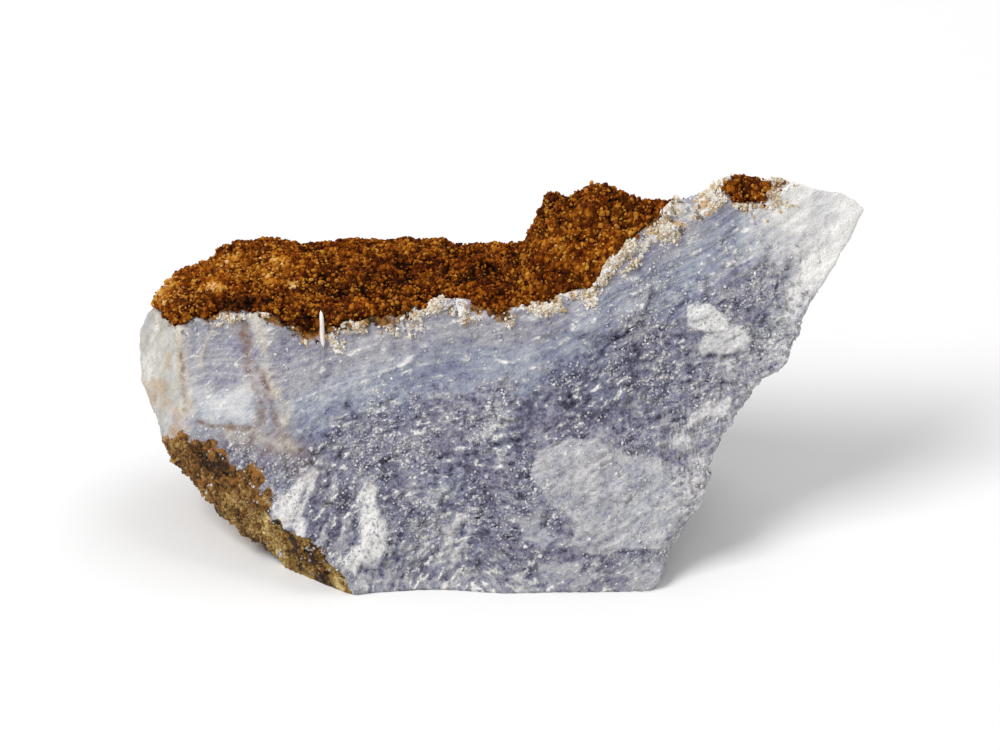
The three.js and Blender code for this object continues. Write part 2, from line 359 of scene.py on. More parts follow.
def openGrid(rows, columns):
    # a sheet of squares, each two triangles; its rim is joined to one more point, which lies inside the
    # stone and closes it
    index = np.arange(rows * columns).reshape(rows, columns)
    a, b, nextA, nextB = index[:-1, :-1], index[1:, :-1], index[:-1, 1:], index[1:, 1:]
    rim = np.concatenate([index[0], index[1:, -1], index[-1, -2::-1], index[-2:0:-1, 0]])
    return triangles((a, b, nextA), (nextA, b, nextB), (index.size, rim, np.roll(rim, -1)))


def addObject(name, data):
    made = bpy.data.objects.new(name, data)
    bpy.context.scene.collection.objects.link(made)
    return made


def makeMesh(name, vertices, faces, material, attributes, smooth):
    # vertices in millimetres, triangles as an index array; the object stays at the origin
    mesh = bpy.data.meshes.new(name)
    mesh.vertices.add(len(vertices))
    mesh.vertices.foreach_set("co", (vertices * mm).astype(np.float32).ravel())
    mesh.loops.add(faces.size)
    mesh.loops.foreach_set("vertex_index", faces.astype(np.int32).ravel())
    mesh.polygons.add(len(faces))
    mesh.polygons.foreach_set("loop_start", np.arange(0, faces.size, 3, dtype=np.int32))
    mesh.polygons.foreach_set("use_smooth", np.full(len(faces), smooth))
    mesh.update(calc_edges=True)
    for key, values in attributes.items():
        data = mesh.attributes.new(key, "FLOAT", "POINT").data
        data.foreach_set("value", values.astype(np.float32).ravel())
    mesh.materials.append(material)
    return addObject(name, mesh)


print("stage 1: the stone's skin")
base = pushOut(*stoneRays())
base[0], base[-1] = base[0].mean(0), base[-1].mean(0)  # each pole is one point
normals = slopeOf(base)
normals[base[..., 2] < 0.02] = (0, 0, -1)
across, up, out = inFace(base)
depth = crustDepth(base)

# what shows on the quartz; outlines and places are points across and up the front face, and tones run
# from 0, clear and dark, to 1, bruised white
patches = (
    # outline, how far it stands up, tone, how ragged its edge and how far it runs out in slanting streaks
    (((2.2, -4.9), (3.4, -3.9), (5.2, -3.5), (7.5, -3.8), (9.8, -4.6), (12, -5.4), (13, -7), (13.2, -9.3),
      (12.2, -11.6), (9, -11.9), (6.3, -11.9), (4.8, -11.1), (5.4, -10.1), (4.4, -9), (3.2, -8), (2.2, -6.6)),
      0.16, 0.705, 0.32, 0),
    (((1, -9.3), (2.4, -9.1), (3.2, -10.1), (4, -11.1), (3.2, -11.7), (1.3, -11.1)), 0.12, 0.68, 0.4, 0),
    (((2.8, -12.9), (5.4, -12.7), (6.5, -14.4), (3, -14.6)), 0.1, 0.64, 0.5, 0.1),
    (((9.5, -13.2), (13.5, -12.2), (12.3, -15), (8.7, -14.8)), 0.1, 0.66, 0.5, 0.1),
    (((13.5, 6.3), (15.3, 6.6), (16.3, 5.5), (16.6, 4.4), (14.9, 4.3), (13.6, 4.7)), 0.3, 1, 0.2, 0),
    (((14.3, 3.4), (15.2, 4.1), (17.7, 4.5), (18.2, 3.6), (16.9, 2.6), (14.6, 2.4)), 0.22, 0.88, 0.35, 0.15),
    (((13.6, -1.5), (14.9, -0.7), (16.5, -0.9), (16.3, -1.9), (14.5, -2.5), (13.4, -2.7)), 0.2, 0.9, 0.35,
      0.2),
    (((12.4, -3.7), (13.4, -3.1), (13.9, -3.7), (13, -4.5)), 0.2, 0.88, 0.3, 0.15),
    (((-10.7, -7.4), (-9.8, -6), (-9, -7.2), (-8.9, -9.2), (-8.1, -10.5), (-8.4, -12), (-9.9, -12.9),
      (-11.8, -13.7), (-12.2, -12.6), (-10.7, -11.2), (-10.5, -9.4)), 0.2, 1.12, 0.3, 0.32),
    (((-16.6, -7.5), (-15.4, -6.3), (-14.3, -5.4), (-13.6, -6.2), (-14.3, -7.6), (-14.6, -9.2),
      (-14.8, -10.7), (-16.1, -10.3), (-17.1, -9.1)), 0.14, 1.02, 0.32, 0.42),
)
tones = (
    # softly darker and paler parts: across, rise, half length, half width, turn, change of tone
    (5.5, -1, 5, 2, 18, -0.13), (8.5, 1.6, 5, 1.6, 35, -0.06), (-1.2, -9, 2.6, 5, 5, -0.09),
    (12.8, -7.5, 2, 5.5, -20, 0.16), (18, 9.5, 6, 3.5, 35, 0.03), (-12.6, -6.6, 2.2, 3.6, 25, -0.12),
    (-13.4, -0.4, 2.6, 1.3, 20, 0.08), (0.5, 3.6, 6, 1.6, 5, 0.06), (-4.6, 1.2, 2.8, 0.6, 15, -0.07),
    (2.6, 1.4, 2.6, 0.8, 0, 0.06), (-0.8, -3, 0.8, 2.8, 8, 0.12), (20.4, 5.2, 1.4, 2.4, -30, 0.12),
    (-7, -3.6, 7, 0.9, 16, 0.07), (-12.6, -9.2, 1.2, 2.6, 15, -0.14), (-18.1, 4.9, 0.7, 0.9, 0, 0.34),
    (-7.2, -8.6, 0.9, 2.2, 10, -0.1), (-6, -5.6, 6, 0.8, 18, -0.06), (0, -14.3, 9, 0.9, 0, 0.10),
    (16.5, 0.5, 5, 1.6, 55, 0.14), (13, 10, 3.5, 1.6, 40, 0.04), (-15.5, 2.6, 1.6, 2.2, 0, -0.05),
    # the three below darken the ground along the big patch's lower, left and lower right edges: painted
    # shadow of its raised edge
    (9.6, -12.3, 3.6, 0.5, 8, -0.12), (4, -9.9, 0.9, 0.7, -40, -0.16), (12.4, -10.4, 0.7, 0.5, 0, -0.25),
)
crowds = (
    # where white flecks crowd: across, rise, half length, half width, turn, how many more
    (-0.8, -2.8, 0.8, 3, 10, 0.6), (-5, -10, 3.2, 4.2, 0, 0.35), (-11.5, -9.5, 4.5, 5, 0, 0.3),
    (-6, -2.8, 9, 1.3, 14, 0.45), (12.5, 3.2, 5, 1.5, 38, 0.3), (11, 8.3, 5.5, 0.9, 34, 0.25),
    (16, 7, 4, 2, 20, 0.15), (-13, 1.5, 4, 2.5, 0, 0.1), (6.5, 0.4, 3.5, 1.5, 0, 0.2),
    (1.5, 4, 5.5, 1.6, 8, 0.35), (-1, -14, 9, 1, 0, 0.45), (9, -8, 5, 4, 0, -0.1),
)
# more places, each as above with its amount: rubble, a painted glow in the window, rust under the crust,
# strokes
rubblePlaces = ((-19, -3.6, 4.2, 1.1, -8, 1.2), (-15.6, -5, 2.6, 1.2, -40, 0.8))
windowPaintedGlow = ((-21, 0.2, 1.9, 2.1, 20, 1),)
stainPlaces = ((-15.5, 4.6, 2.4, 1.4, 0, 0.7),)
strokePlaces = ((-4.4, -10, 2.0, 2.5, 0, 1.7), (-12.5, -9.5, 4, 4, 0, 0.55), (-8, -13, 4, 1.5, 0, 0.7),
                (-0.8, -2.8, 0.8, 2.6, 8, 1.2))
creamSpots = (
    # where cream crystals crowd on the front
    (-11.7, 4.3, 0.5, 0.9, 0, 1.2), (-7.8, 5.1, 0.6, 0.4, 0, 1.2), (-3.6, 6.4, 0.9, 0.5, 30, 1),
    (12.7, 12.2, 1.5, 1, 50, 1.5), (10.2, 10, 1.6, 0.4, 50, 1.2), (20.4, 14.6, 1.1, 1, 0, 1.1),
    (-25.4, 5.9, 0.9, 0.4, 0, 1), (4.5, 6.6, 1.6, 0.35, 15, 1),
)
seams = {
    # lines on the face: both ends, half the width
    "brownSeam": (((-19.7, 5.4), (-17.8, -2.4), 0.46), ((-18, 1.4), (-16.4, -3.2), 0.42),
                  ((-22.6, -2.5), (-17.4, -2.9), 0.18), ((-23.7, 3), (-23.5, -1.4), 0.14),
                  ((-19.9, 5.8), (-18.9, 3.4), 0.4)),
    "creamSeam": (((-18.5, 5.9), (-17, 1.2), 0.5), ((-17.2, 0.8), (-15.9, -2.2), 0.5),
                  ((-20.4, -3), (-15.4, -4.2), 0.45), ((-21.5, 4.6), (-22.5, 2), 0.2),
                  ((-23.9, 5), (-23.8, -1.6), 0.3)),
    "darkSeam": (((8.6, 1.9), (11.8, 4.6), 0.16), ((7.2, 3.1), (10.4, 4.7), 0.14),
                 ((4.2, 0.4), (6.3, 1.3), 0.16), ((11.8, 4.6), (13.4, 7), 0.12)),
    "whiteSeam": (((-9.6, 0.8), (-5.6, 3.2), 0.24), ((-6.3, 1.8), (-3.4, 2.35), 0.16),
                  ((-3.4, 2.35), (0.6, 1.9), 0.13), ((-16.2, -2.2), (-14.4, -3.4), 0.2),
                  ((1.5, 5.2), (5.8, 5.6), 0.16), ((-12, -2.6), (-7, -0.5), 0.14)),
}
bandLine = {
    # the lower edge of the smooth band, which bends at both ends, and the rings that the grain runs along
    "level": 0.7, "slope": 0.18, "slopeFrom": 2, "rightSlope": 0.39, "rightFrom": 2.0, "rightSoft": 1.6,
    "leftSlope": 0.12, "leftFrom": -9.0, "leftSoft": 1.5, "ringMiddle": (-1.5, -16), "ringRadius": 16.4,
}
quartzTone = {
    "smooth": 0.55, "sugary": 0.475, "clouds": ((0.07, 4.5), (0.07, 2.1)),
    # glow: how much the painted glow lightens the window
    "rim": 0.2, "foot": 0.1, "window": 0.11, "glow": 0.2, "pale": 0.2, "tip": 0.5, "strokes": 0.8,
    "whiteSeam": 0.55, "darkSeam": 0.34,
}
# how strongly grain shows on each part
quartzContrast = {"smooth": 0.46, "sugary": 1.05, "patch": 0.6, "flats": 0.32, "tip": 0.2}
partEdges = {
    # where each part begins and is full, in millimetres past its break or its line, or in the face frame
    "crust": (-0.1, 0.1), "front": (-1.6, -0.5), "elsewhere": (-3, -5.5), "turnOver": (2, 8),
    "window": (-0.55, -0.25), "offFront": (-0.15, -0.45), "offPale": (0.15, -0.15), "windowFoot": (-2.8, -2),
    "pale": (-0.75, -0.1), "tip": (16.5, 24), "tipFoot": (2, 8), "rim": (-3.4, -0.4), "foot": (1.6, 0.3),
    "fringe": (-1.4, -0.1), "bareWall": (-0.5, 0.2), "bareWallEnd": (12.5, 14), "olive": (-5, -13),
    "joint": (-0.6, -0.05), "jointNarrow": (-10.5, -5.5), "jointTop": (-2.9, -4.1),
    "underJoint": (-0.75, -0.3), "low": (-1.5, 0.1), "nearCrust": (-1.1, 0), "rightEdge": (-0.8, -0.1),
}


def humps(size, shift=0):
    # hills on the stone's skin, another set of them for another shift
    return hills(base + shift, size)


def past(name):
    # how far the stone's skin lies past one break's plane
    return breakDistance(base, name)


def within(name, x):
    # 0 to 1 across one of the edges above
    return ease(*partEdges[name], x)


def lineDistance(x, y, start, end):
    # from points to a straight line between two others: t is the share along it, kept from 0 to 1
    (x0, y0), (x1, y1) = start, end
    t = np.clip(((x - x0) * (x1 - x0) + (y - y0) * (y1 - y0)) / ((x1 - x0) ** 2 + (y1 - y0) ** 2), 0, 1)
    return np.hypot(x - x0 - t * (x1 - x0), y - y0 - t * (y1 - y0))


def outlineDistance(outline):
    # negative inside: the least distance to any side, with its sign from how often a line to the right
    # crosses the sides
    nearest, inside = np.full(across.shape, 99.0), np.zeros(across.shape, bool)
    for start, end in zip(outline, outline[1:] + outline[:1]):
        nearest = np.minimum(nearest, lineDistance(across, up, start, end))
        (x0, y0), (x1, y1) = start, end
        crosses = across - x0 < (x1 - x0) * (up - y0) / ((y1 - y0) or 1)
        inside ^= ((y0 > up) != (y1 > up)) & crosses
    return np.where(inside, -nearest, nearest)


def blobs(*spots):
    # the sum over turned ellipses on the face: each its amount in the middle, falling off as exp(-r^2)
    total = 0
    for x, y, halfLength, halfWidth, turn, amount in spots:
        c, s = np.cos(np.radians(turn)), np.sin(np.radians(turn))
        dx, dy = across - x + waver[0], up - y + waver[1]
        along, aside = (dx * c + dy * s) / halfLength, (dy * c - dx * s) / halfWidth
        total = total + amount * np.exp(-(along ** 2 + aside ** 2 + (np.minimum(out, 0) / 3) ** 2))
    return total


def onSeams(lines):
    # 1 on straight lines on the face, falling off as exp(-(distance / width)^2), the largest where they
    # meet; they waver, swell and break off with hills of three sizes
    x, y = across + 0.7 * waver[0] + 0.18 * humps(0.9), up + 0.25 * humps(1.1, 7)
    swell = np.maximum(0.25, 1 + 0.7 * humps(1.6, 3) + 0.5 * humps(0.7, 3))
    each = [np.exp(-(lineDistance(x, y, *ends) / (width * swell)) ** 2) for *ends, width in lines]
    return np.max(each, axis=0) * (out > -2.5) * np.clip(0.95 + 0.8 * humps(1.0), 0, 1)


def softPlus(x, soft):
    # 0 far below 0 and x far above it, with a soft bend
    return soft * np.log1p(np.exp(x / soft))


def stretched(turn, along, aside):
    # hills drawn out on the face along a way that is turned by so many degrees
    c, s = np.cos(np.radians(turn)), np.sin(np.radians(turn))
    return hills(np.stack([(across * c + up * s) / along, (up * c - across * s) / aside, out / 2], -1), 1.0)


print("stage 2: bands, patches and stains")
waver = 0.45 * humps(2.6), 0.45 * humps(2.6, 11)
bandRise = bandLine["level"] + bandLine["slope"] * (across - bandLine["slopeFrom"])
bandRise += bandLine["rightSlope"] * softPlus(across - bandLine["rightFrom"], bandLine["rightSoft"])
bandRise -= bandLine["leftSlope"] * softPlus(bandLine["leftFrom"] - across, bandLine["leftSoft"])
# millimetres above the lower edge of the smooth band, the same all through the stone
band = 0.95 * (base[..., 2] - faceOrigin[2] - np.cos(lean) * bandRise) + 0.4 * humps(7.5) + 0.12 * humps(3)
# the grain runs along rings round a point low on the face, and on the right along the bands
rings = np.hypot(across - bandLine["ringMiddle"][0], up - bandLine["ringMiddle"][1]) - bandLine["ringRadius"]
flow = band + (rings + 0.3 * humps(4) - band) * ease(4, -3, across)
rough = 0.6 * humps(1.3) + 0.4 * humps(0.6)
ragged = 0.9 * humps(2.4, 5) + 0.8 * humps(1.1, 5) + 0.6 * humps(0.5)
crustMask = within("crust", depth)
onFront = within("front", out)

# the smooth band turns into the sugary part over a few millimetres, and over more on the right
turnOver = 1.2 + 1.3 * within("turnOver", across)
sugar = ease(turnOver, -turnOver, band + 0.9 * ragged)
elsewhere = within("elsewhere", out)
sugar *= 1 - 0.85 * elsewhere * np.exp(-((band + 6.8 + 1.2 * humps(5)) / 1.7) ** 2)
onWindow = within("window", past("window")) * within("offFront", past("front"))
onWindow *= within("offPale", past("paleFlat") - past("window")) * within("windowFoot", up + 0.5 * ragged)
onPale = within("pale", past("paleFlat") + 0.3 * ragged)
frost = within("tip", across + 0.45 * (up - 9) + 1.2 * ragged) * within("tipFoot", up)
brownSeam, creamSeam, darkSeam, whiteSeam = [onSeams(lines) for lines in seams.values()]
whiteSeam = whiteSeam * ease(-0.25, 0.35, stretched(25, 0.8, 0.3))  # broken into flecks
rubble = np.clip(blobs(*rubblePlaces), 0, 1)

white = quartzTone["smooth"] + (quartzTone["sugary"] - quartzTone["smooth"]) * sugar + blobs(*tones)
white += sum(height * humps(size) for height, size in quartzTone["clouds"])
white += quartzTone["rim"] * within("rim", past("right") + 0.6 * ragged)
white += quartzTone["foot"] * within("foot", base[..., 2] + 0.5 * ragged) * onFront
white += elsewhere * (0.26 * ease(0.1, 0.45, humps(3.6, 20) + 0.25 * ragged)
                      - 0.16 * ease(0.05, 0.6, humps(5, 30)))
contrast = quartzContrast["smooth"] + (quartzContrast["sugary"] - quartzContrast["smooth"]) * sugar
patchHeight, flatness = np.zeros(across.shape), np.zeros(across.shape)
for outline, height, level, edge, streaky in patches:
    torn = edge * (0.5 * ragged + rough) + streaky * (stretched(68, 2.2, 0.4) + 0.2)
    soft = 0.14 + 0.35 * streaky
    inside = ease(soft, -soft, outlineDistance(outline) + torn) * onFront
    white += inside * (level - white) * (0.92 - 0.1 * streaky)
    flatness = np.maximum(flatness, inside * (1 - 0.6 * streaky))
    contrast += inside * (quartzContrast["patch"] - contrast)
    patchHeight = np.maximum(patchHeight, inside * height)

# slanting white strokes low on the left and down the middle
strokes = ease(0, 0.5, stretched(62, 2.6, 0.55) + 0.5 * rough) * onFront
strokes *= np.clip(blobs(*strokePlaces), 0, 1)
flats = np.maximum(onWindow, onPale)
contrast += flats * (quartzContrast["flats"] - contrast)
contrast += frost * (quartzContrast["tip"] - contrast)
white += quartzTone["strokes"] * strokes * (1 - white) + quartzTone["whiteSeam"] * whiteSeam * (1 - flats)
white -= quartzTone["darkSeam"] * darkSeam
# the window is whiter, with a painted glow round one spot in it
white += onWindow * (quartzTone["window"] + quartzTone["glow"] * blobs(*windowPaintedGlow))
white += quartzTone["pale"] * onPale + quartzTone["tip"] * frost * (0.9 + 0.4 * stretched(72, 5.0, 1.1))
crowd = 0.2 + blobs(*crowds) + 0.2 * humps(3.1)
lining = 0.7 - 0.35 * sugar + 0.45 * ease(1, 8, across) * ease(-5, -1, band) + 0.5 * elsewhere
lining *= (1 - 0.8 * onPale) * (1 - 0.6 * onWindow) * (1 - 0.7 * frost)
blue = ease(4.5, 0.5, band) * (1 - sugar) + 0.35 * sugar + 0.3 * humps(3.3)

fringeParts = np.interp(across, *np.array(crust["fringe"]).T)
fringe = within("fringe", depth + 0.5 * ragged + 0.7 * stretched(100, 1.3, 0.5)) * fringeParts
fringe *= 1.15 * ease(-0.45, 0.35, humps(1.2, 9) + 0.3 * rough)
fringe = np.maximum(fringe, blobs(*creamSpots) * ease(-0.5, 0.3, rough) * onFront)
bareWall = within("bareWall", base[..., 2] - wallAt(base[..., 0], base[..., 1]))
bareWall *= within("bareWallEnd", across)
fringe = np.maximum(fringe, 0.75 * bareWall * ease(-0.5, 0.3, humps(1.6, 4)) * (1 - 0.7 * frost))
onJoint = within("joint", past("rustyJoint") + 0.38 * ragged + 0.92 * within("jointNarrow", up))
onJoint = np.maximum(onJoint, within("underJoint", past("underJoint") + 0.45 * rough))
onLow = within("low", past("underLeft") + 0.9 * ragged) * ease(-0.4, 0.5, humps(4.5) + 0.4 * ragged)
jointStreak = stretched(-49, 3.4, 0.5) + 0.7 * stretched(-49, 1.8, 0.25)
nearCrust = within("nearCrust", depth + 0.4 * rough)
nearCrust *= ease(-0.1, 0.5, humps(1.9) + blobs(*stainPlaces))
stain = np.max([onJoint * within("jointTop", up + 0.6 * ragged), 0.8 * onLow, 0.7 * nearCrust], axis=0)
olive = within("olive", up)

reliefKit = {
    # size, height and how wide apart the columns lie where they are gone and where they are full
    "plates": (2.3, 0.13, (9, 4)), "flakes": (1.0, 0.22, (0.7, 0.35)), "chips": (0.5, 0.22, (0.36, 0.18)),
    "swells": ((0.9, 0.07), (2.2, 0.1)),
    "steps": (6.5, 0.05),                                   # along the bands: how close and how high
    # how far marks stand out
    "strokes": 0.12, "brownSeam": -0.16, "creamSeam": 0.1, "whiteSeam": 0.1, "darkSeam": -0.15, "fringe": 0.3,
    "rust": (0.65, 0.3, -0.1),                              # its grains: size, height and level
    "underCrust": -0.5,
}


def quartzRelief():
    # millimetres out along the normal: tilted plates, each cell's own slope times the way from its point,
    # small on the smooth band and larger on the sugary part; steps along the bands; raised patches; the
    # finest of it fades where the columns lie wide apart
    apart = np.linalg.norm(np.roll(base, -1, axis=1) - base, axis=-1)
    tilted = 0
    for name in ("plates", "flakes", "chips"):
        size, height, fade = reliefKit[name]
        _, away, own = cells(base, size)
        tilted = tilted + height * ease(*fade, apart) * (away * own).sum(-1)
    onRightEdge = within("rightEdge", past("right")) * onFront
    grainy = (0.3 + 0.7 * sugar) * (1 - 0.55 * flatness) * (1 - 0.6 * frost) * (1 - 0.6 * onRightEdge)
    relief = grainy * tilted + sum(height * humps(size) for size, height in reliefKit["swells"])
    close, height = reliefKit["steps"]
    steps = height * np.sin(band * close + 1.5 * humps(4)) * (1 - 0.6 * sugar)
    relief += steps * np.maximum(ease(0, 4, across), 1.4 * elsewhere)
    marks = {"strokes": strokes, "brownSeam": brownSeam, "creamSeam": creamSeam, "whiteSeam": whiteSeam,
             "darkSeam": darkSeam, "fringe": fringe * (0.6 + rough)}
    relief += patchHeight + sum(reliefKit[name] * mark for name, mark in marks.items())
    relief *= (1 - 0.7 * onWindow) * (1 - 0.5 * onPale)
    size, height, level = reliefKit["rust"]
    relief += stain * (height * grainTops(base, size)[0] + level)
    relief = relief * (1 - 0.7 * crustMask) + reliefKit["underCrust"] * crustMask
    return relief * ease(0, 1, base[..., 2])


points = base + normals * quartzRelief()[..., None]
points[..., 2] = np.where(base[..., 2] < 0.05, 0, np.maximum(points[..., 2], 0))
points[0], points[-1] = points[0].mean(0), points[-1].mean(0)

print("stage 3: the crust's sheet")
sheetBase = pushOut(*crustRays())
sheetNormals = slopeOf(sheetBase)
sheetDepth = crustDepth(sheetBase)
sheetAcross, sheetUp, _ = inFace(sheetBase)
glows = (
    # lighter and darker parts of the crust: across, rise, half length, half height, amount
    (-25, 7, 1.5, 1.3, 0.30), (-19, 9.3, 4.5, 1.5, 0.15), (-9, 8.5, 5, 2, -0.09), (-1, 8.5, 3, 2, -0.1),
    (7, 10.5, 2.8, 2.4, 0.1), (4.2, 10.6, 1.8, 0.9, 0.12), (11, 13, 1.5, 1.2, -0.05),
    # the first below is a painted shadow in the gap under the crust's edge at the left
    (-19.4, 6.5, 2.6, 0.6, -0.32), (17.9, 14.9, 0.7, 0.5, -0.06), (16.3, 15, 0.7, 0.8, 0.25),
    (19.5, 14.9, 0.7, 0.8, 0.25), (-21.3, 7.45, 0.9, 0.26, 0.75), (-15.5, 7.8, 0.4, 0.25, 0.7),
    (-14.5, 5.2, 1.5, 0.8, -0.12),
)
sheetKit = {
    "large": (0.66, 0.36), "small": (0.33, 0.15), "lump": (1.5, 0.28),  # grains and lumps: size and height
    "rim": 0.14,              # how high its edge stands
    "edge": (-0.12, 0.22),    # millimetres in from its edge over which it rises
    "sunk": 0.5,              # how deep it dives past its edge
    "lowest": -0.28,          # its lowest hollow
    "hollow": 0.9,            # how deep a darker part lies for its amount
    "furrow": 0.22,           # how deep the furrows are
    "inside": (-2, 2, 11), "insideTone": 0.3,  # the point inside the stone that closes it
}
sheetTones = {
    "middle": 0.43, "own": 0.12, "largeTop": 0.46, "smallTop": 0.34, "glow": 0.8, "furrow": 0.3,
    "clouds": ((0.18, 2.4), (0.16, 1.0)),
}


def glowAt(x, y):
    # the sum of the glows, each amount times exp(-r^2)
    return sum(amount * np.exp(-((x - a) / w) ** 2 - ((y - b) / h) ** 2) for a, b, w, h, amount in glows)


largeTop, largeOwn = grainTops(sheetBase, sheetKit["large"][0])
smallTop, smallOwn = grainTops(sheetBase, sheetKit["small"][0])
largeTop, smallTop = largeTop - 0.4, smallTop - 0.4  # from their mean height
glow = glowAt(sheetAcross, sheetUp)
# furrows lie where broad hills pass through 0, in some places only
furrows = ease(0.16, 0.02, np.abs(hills(sheetBase + 3, 2.0) + 0.15 * hills(sheetBase, 0.6)))
furrows *= ease(-0.1, 0.4, hills(sheetBase, 3.3))
sheetRelief = sheetKit["large"][1] * largeTop + sheetKit["small"][1] * smallTop
sheetRelief += sheetKit["lump"][1] * hills(sheetBase, sheetKit["lump"][0])
sheetRelief += sheetKit["hollow"] * np.minimum(glow, 0) - sheetKit["furrow"] * furrows
inCrust = ease(*sheetKit["edge"], sheetDepth)
sheetLift = inCrust * np.maximum(sheetKit["rim"] + sheetRelief, sheetKit["lowest"])
sheetLift -= (1 - inCrust) * sheetKit["sunk"]
sheetPoints = sheetBase + sheetNormals * sheetLift[..., None]
sheetPoints[..., 2] = np.maximum(sheetPoints[..., 2], 1)
spillPoints = sheetBase + sheetNormals * np.maximum(sheetLift, -0.02)[..., None]
sheetTone = sheetTones["middle"] + sheetTones["own"] * (largeOwn + smallOwn)
sheetTone += sheetTones["largeTop"] * largeTop + sheetTones["smallTop"] * smallTop
sheetTone += sheetTones["glow"] * glow - sheetTones["furrow"] * furrows
sheetTone += sum(amount * hills(sheetBase, size) for amount, size in sheetTones["clouds"])


# nodes: short names for what the materials below are built from

class Signal:
    # what comes out of a node; it adds, subtracts and multiplies by way of math nodes
    def __init__(self, tree, socket):
        self.tree, self.socket = tree, socket

    def __add__(self, other):
        return self.tree.math("ADD", self, other)

    def __sub__(self, other):
        return self.tree.math("SUBTRACT", self, other)

    def __mul__(self, other):
        return self.tree.math("MULTIPLY", self, other)


class Tree:
    def __init__(self, name):
        self.material = bpy.data.materials.new(name)
        self.material.use_nodes = True
        self.nodes = self.material.node_tree.nodes
        self.place = self.node("TexCoord", "Object", {})

    def feed(self, socket, value):
        if isinstance(value, Signal):
            self.material.node_tree.links.new(value.socket, socket)
        else:
            socket.default_value = value

    def node(self, kind, output, inputs, **settings):
        # a new node of that kind, its inputs fed by name or number; gives the output asked for
        made = self.nodes.new("ShaderNode" + kind)
        for key, value in settings.items():
            setattr(made, key, value)
        for key, value in inputs.items():
            self.feed(made.inputs[key], value)
        return Signal(self, made.outputs[output])

    def mask(self, name):
        return self.node("Attribute", "Fac", {}, attribute_name=name)

    def axis(self, which):
        return self.node("SeparateXYZ", which, {0: self.place})

    def math(self, operation, a, b):
        return self.node("Math", 0, {0: a, 1: b}, operation=operation)

    def vectors(self, operation, inputs):
        return self.node("VectorMath", 0, inputs, operation=operation)

    def span(self, value, low, high, toLow=0, toHigh=1, kind="SMOOTHSTEP"):
        inputs = {"Value": value, "From Min": low, "From Max": high, "To Min": toLow, "To Max": toHigh}
        return self.node("MapRange", "Result", inputs, interpolation_type=kind)

    def noise(self, size, detail=3, roughness=0.55, at=None, lines=False):
        # size in millimetres; at is another place to read, in millimetres too, or a single height for lines
        place, scale = (self.place, 1 / (size * mm)) if at is None else (at, 1 / size)
        inputs = {"W" if lines else "Vector": place, "Scale": scale, "Detail": detail, "Roughness": roughness}
        return self.node("TexNoise", "Fac", inputs, noise_dimensions="1D" if lines else "3D")

    def swing(self, *kind, **more):
        # a noise less its middle
        return self.noise(*kind, **more) - 0.5

    def facets(self, size, amount):
        # a small turn for the normal, one for each cell of that size
        cell = self.node("TexVoronoi", "Color", {"Vector": self.place, "Scale": 1 / (size * mm)})
        middle = self.vectors("SUBTRACT", {0: cell, 1: (0.5, 0.5, 0.5)})
        return self.vectors("SCALE", {0: middle, "Scale": amount})

    def bump(self, height, distance):
        return self.node("Bump", 0, {"Height": height, "Distance": distance * mm})

    def mix(self, amount, a, b, blend="MIX"):
        return self.node("Mix", 2, {0: amount, 6: a, 7: b}, data_type="RGBA", blend_type=blend)

    def ramp(self, value, stops):
        made = self.node("ValToRGB", "Color", {"Fac": value})
        entries = made.socket.node.color_ramp.elements
        while len(entries) < len(stops):
            entries.new(0.5)
        for entry, (position, shade) in zip(entries, stops):
            entry.position = position
            entry.color = shade
        return made

    def shaded(self, shade, value):
        # a colour made darker or lighter by a factor
        grey = self.node("CombineColor", 0, {0: value, 1: value, 2: value})
        return self.mix(1, shade, grey, "MULTIPLY")

    def finish(self, inputs):
        # feeds the shader and gives the material
        for key, value in inputs.items():
            self.feed(self.nodes["Principled BSDF"].inputs[key], value)
        return self.material


def colour(red, green, blue):
    # 0 to 255 as seen, to the linear values that a shader takes
    seen = np.array([red, green, blue]) / 255
    linear = np.where(seen <= 0.04045, seen / 12.92, ((seen + 0.055) / 1.055) ** 2.4)
    return (*linear.tolist(), 1.0)


quartzLook = {
    # from clear and dark to bruised white
    "tones": ((0.0, colour(58, 55, 72)), (0.2, colour(99, 96, 121)), (0.4, colour(136, 134, 157)),
              (0.6, colour(170, 169, 178)), (0.8, colour(206, 204, 206)), (1.0, colour(244, 242, 239))),
    "blueTint": (0.88, 0.97, 1.03, 1), "warmTint": (1.0, 0.99, 0.97, 1),
    "paleFlat": colour(192, 188, 177), "paleTan": colour(190, 164, 134), "rubble": colour(156, 134, 122),
    "brownSeam": colour(128, 96, 68), "creamSeam": colour(208, 198, 180),
    "cream": colour(226, 214, 188), "orange": colour(206, 160, 96), "white": colour(244, 242, 239),
    # the joint's dark brown also paints the shade in the fringe's gaps
    "jointDarkAndGapShade": colour(50, 30, 10), "jointBrown": colour(150, 100, 38), "jointOlive": colour(150, 114, 48),
    "jointPale": colour(226, 200, 132),
    # how much lines and grains change the tone, and the size of a grain's facet
    "lineDepth": 0.85, "grain": 2.3, "cloud": 0.8, "fine": 0.5, "fleck": 0.42, "pitShade": 0.2, "facet": 0.28,
}
rustLook = {
    # from the pits to the golden and tan tops
    "tones": ((0.1, colour(26, 11, 4)), (0.27, colour(66, 28, 7)), (0.46, colour(110, 54, 11)),
              (0.63, colour(162, 94, 22)), (0.82, colour(204, 150, 58)), (1.0, colour(226, 192, 146))),
    "redTint": (1.0, 0.82, 0.6, 1),
}


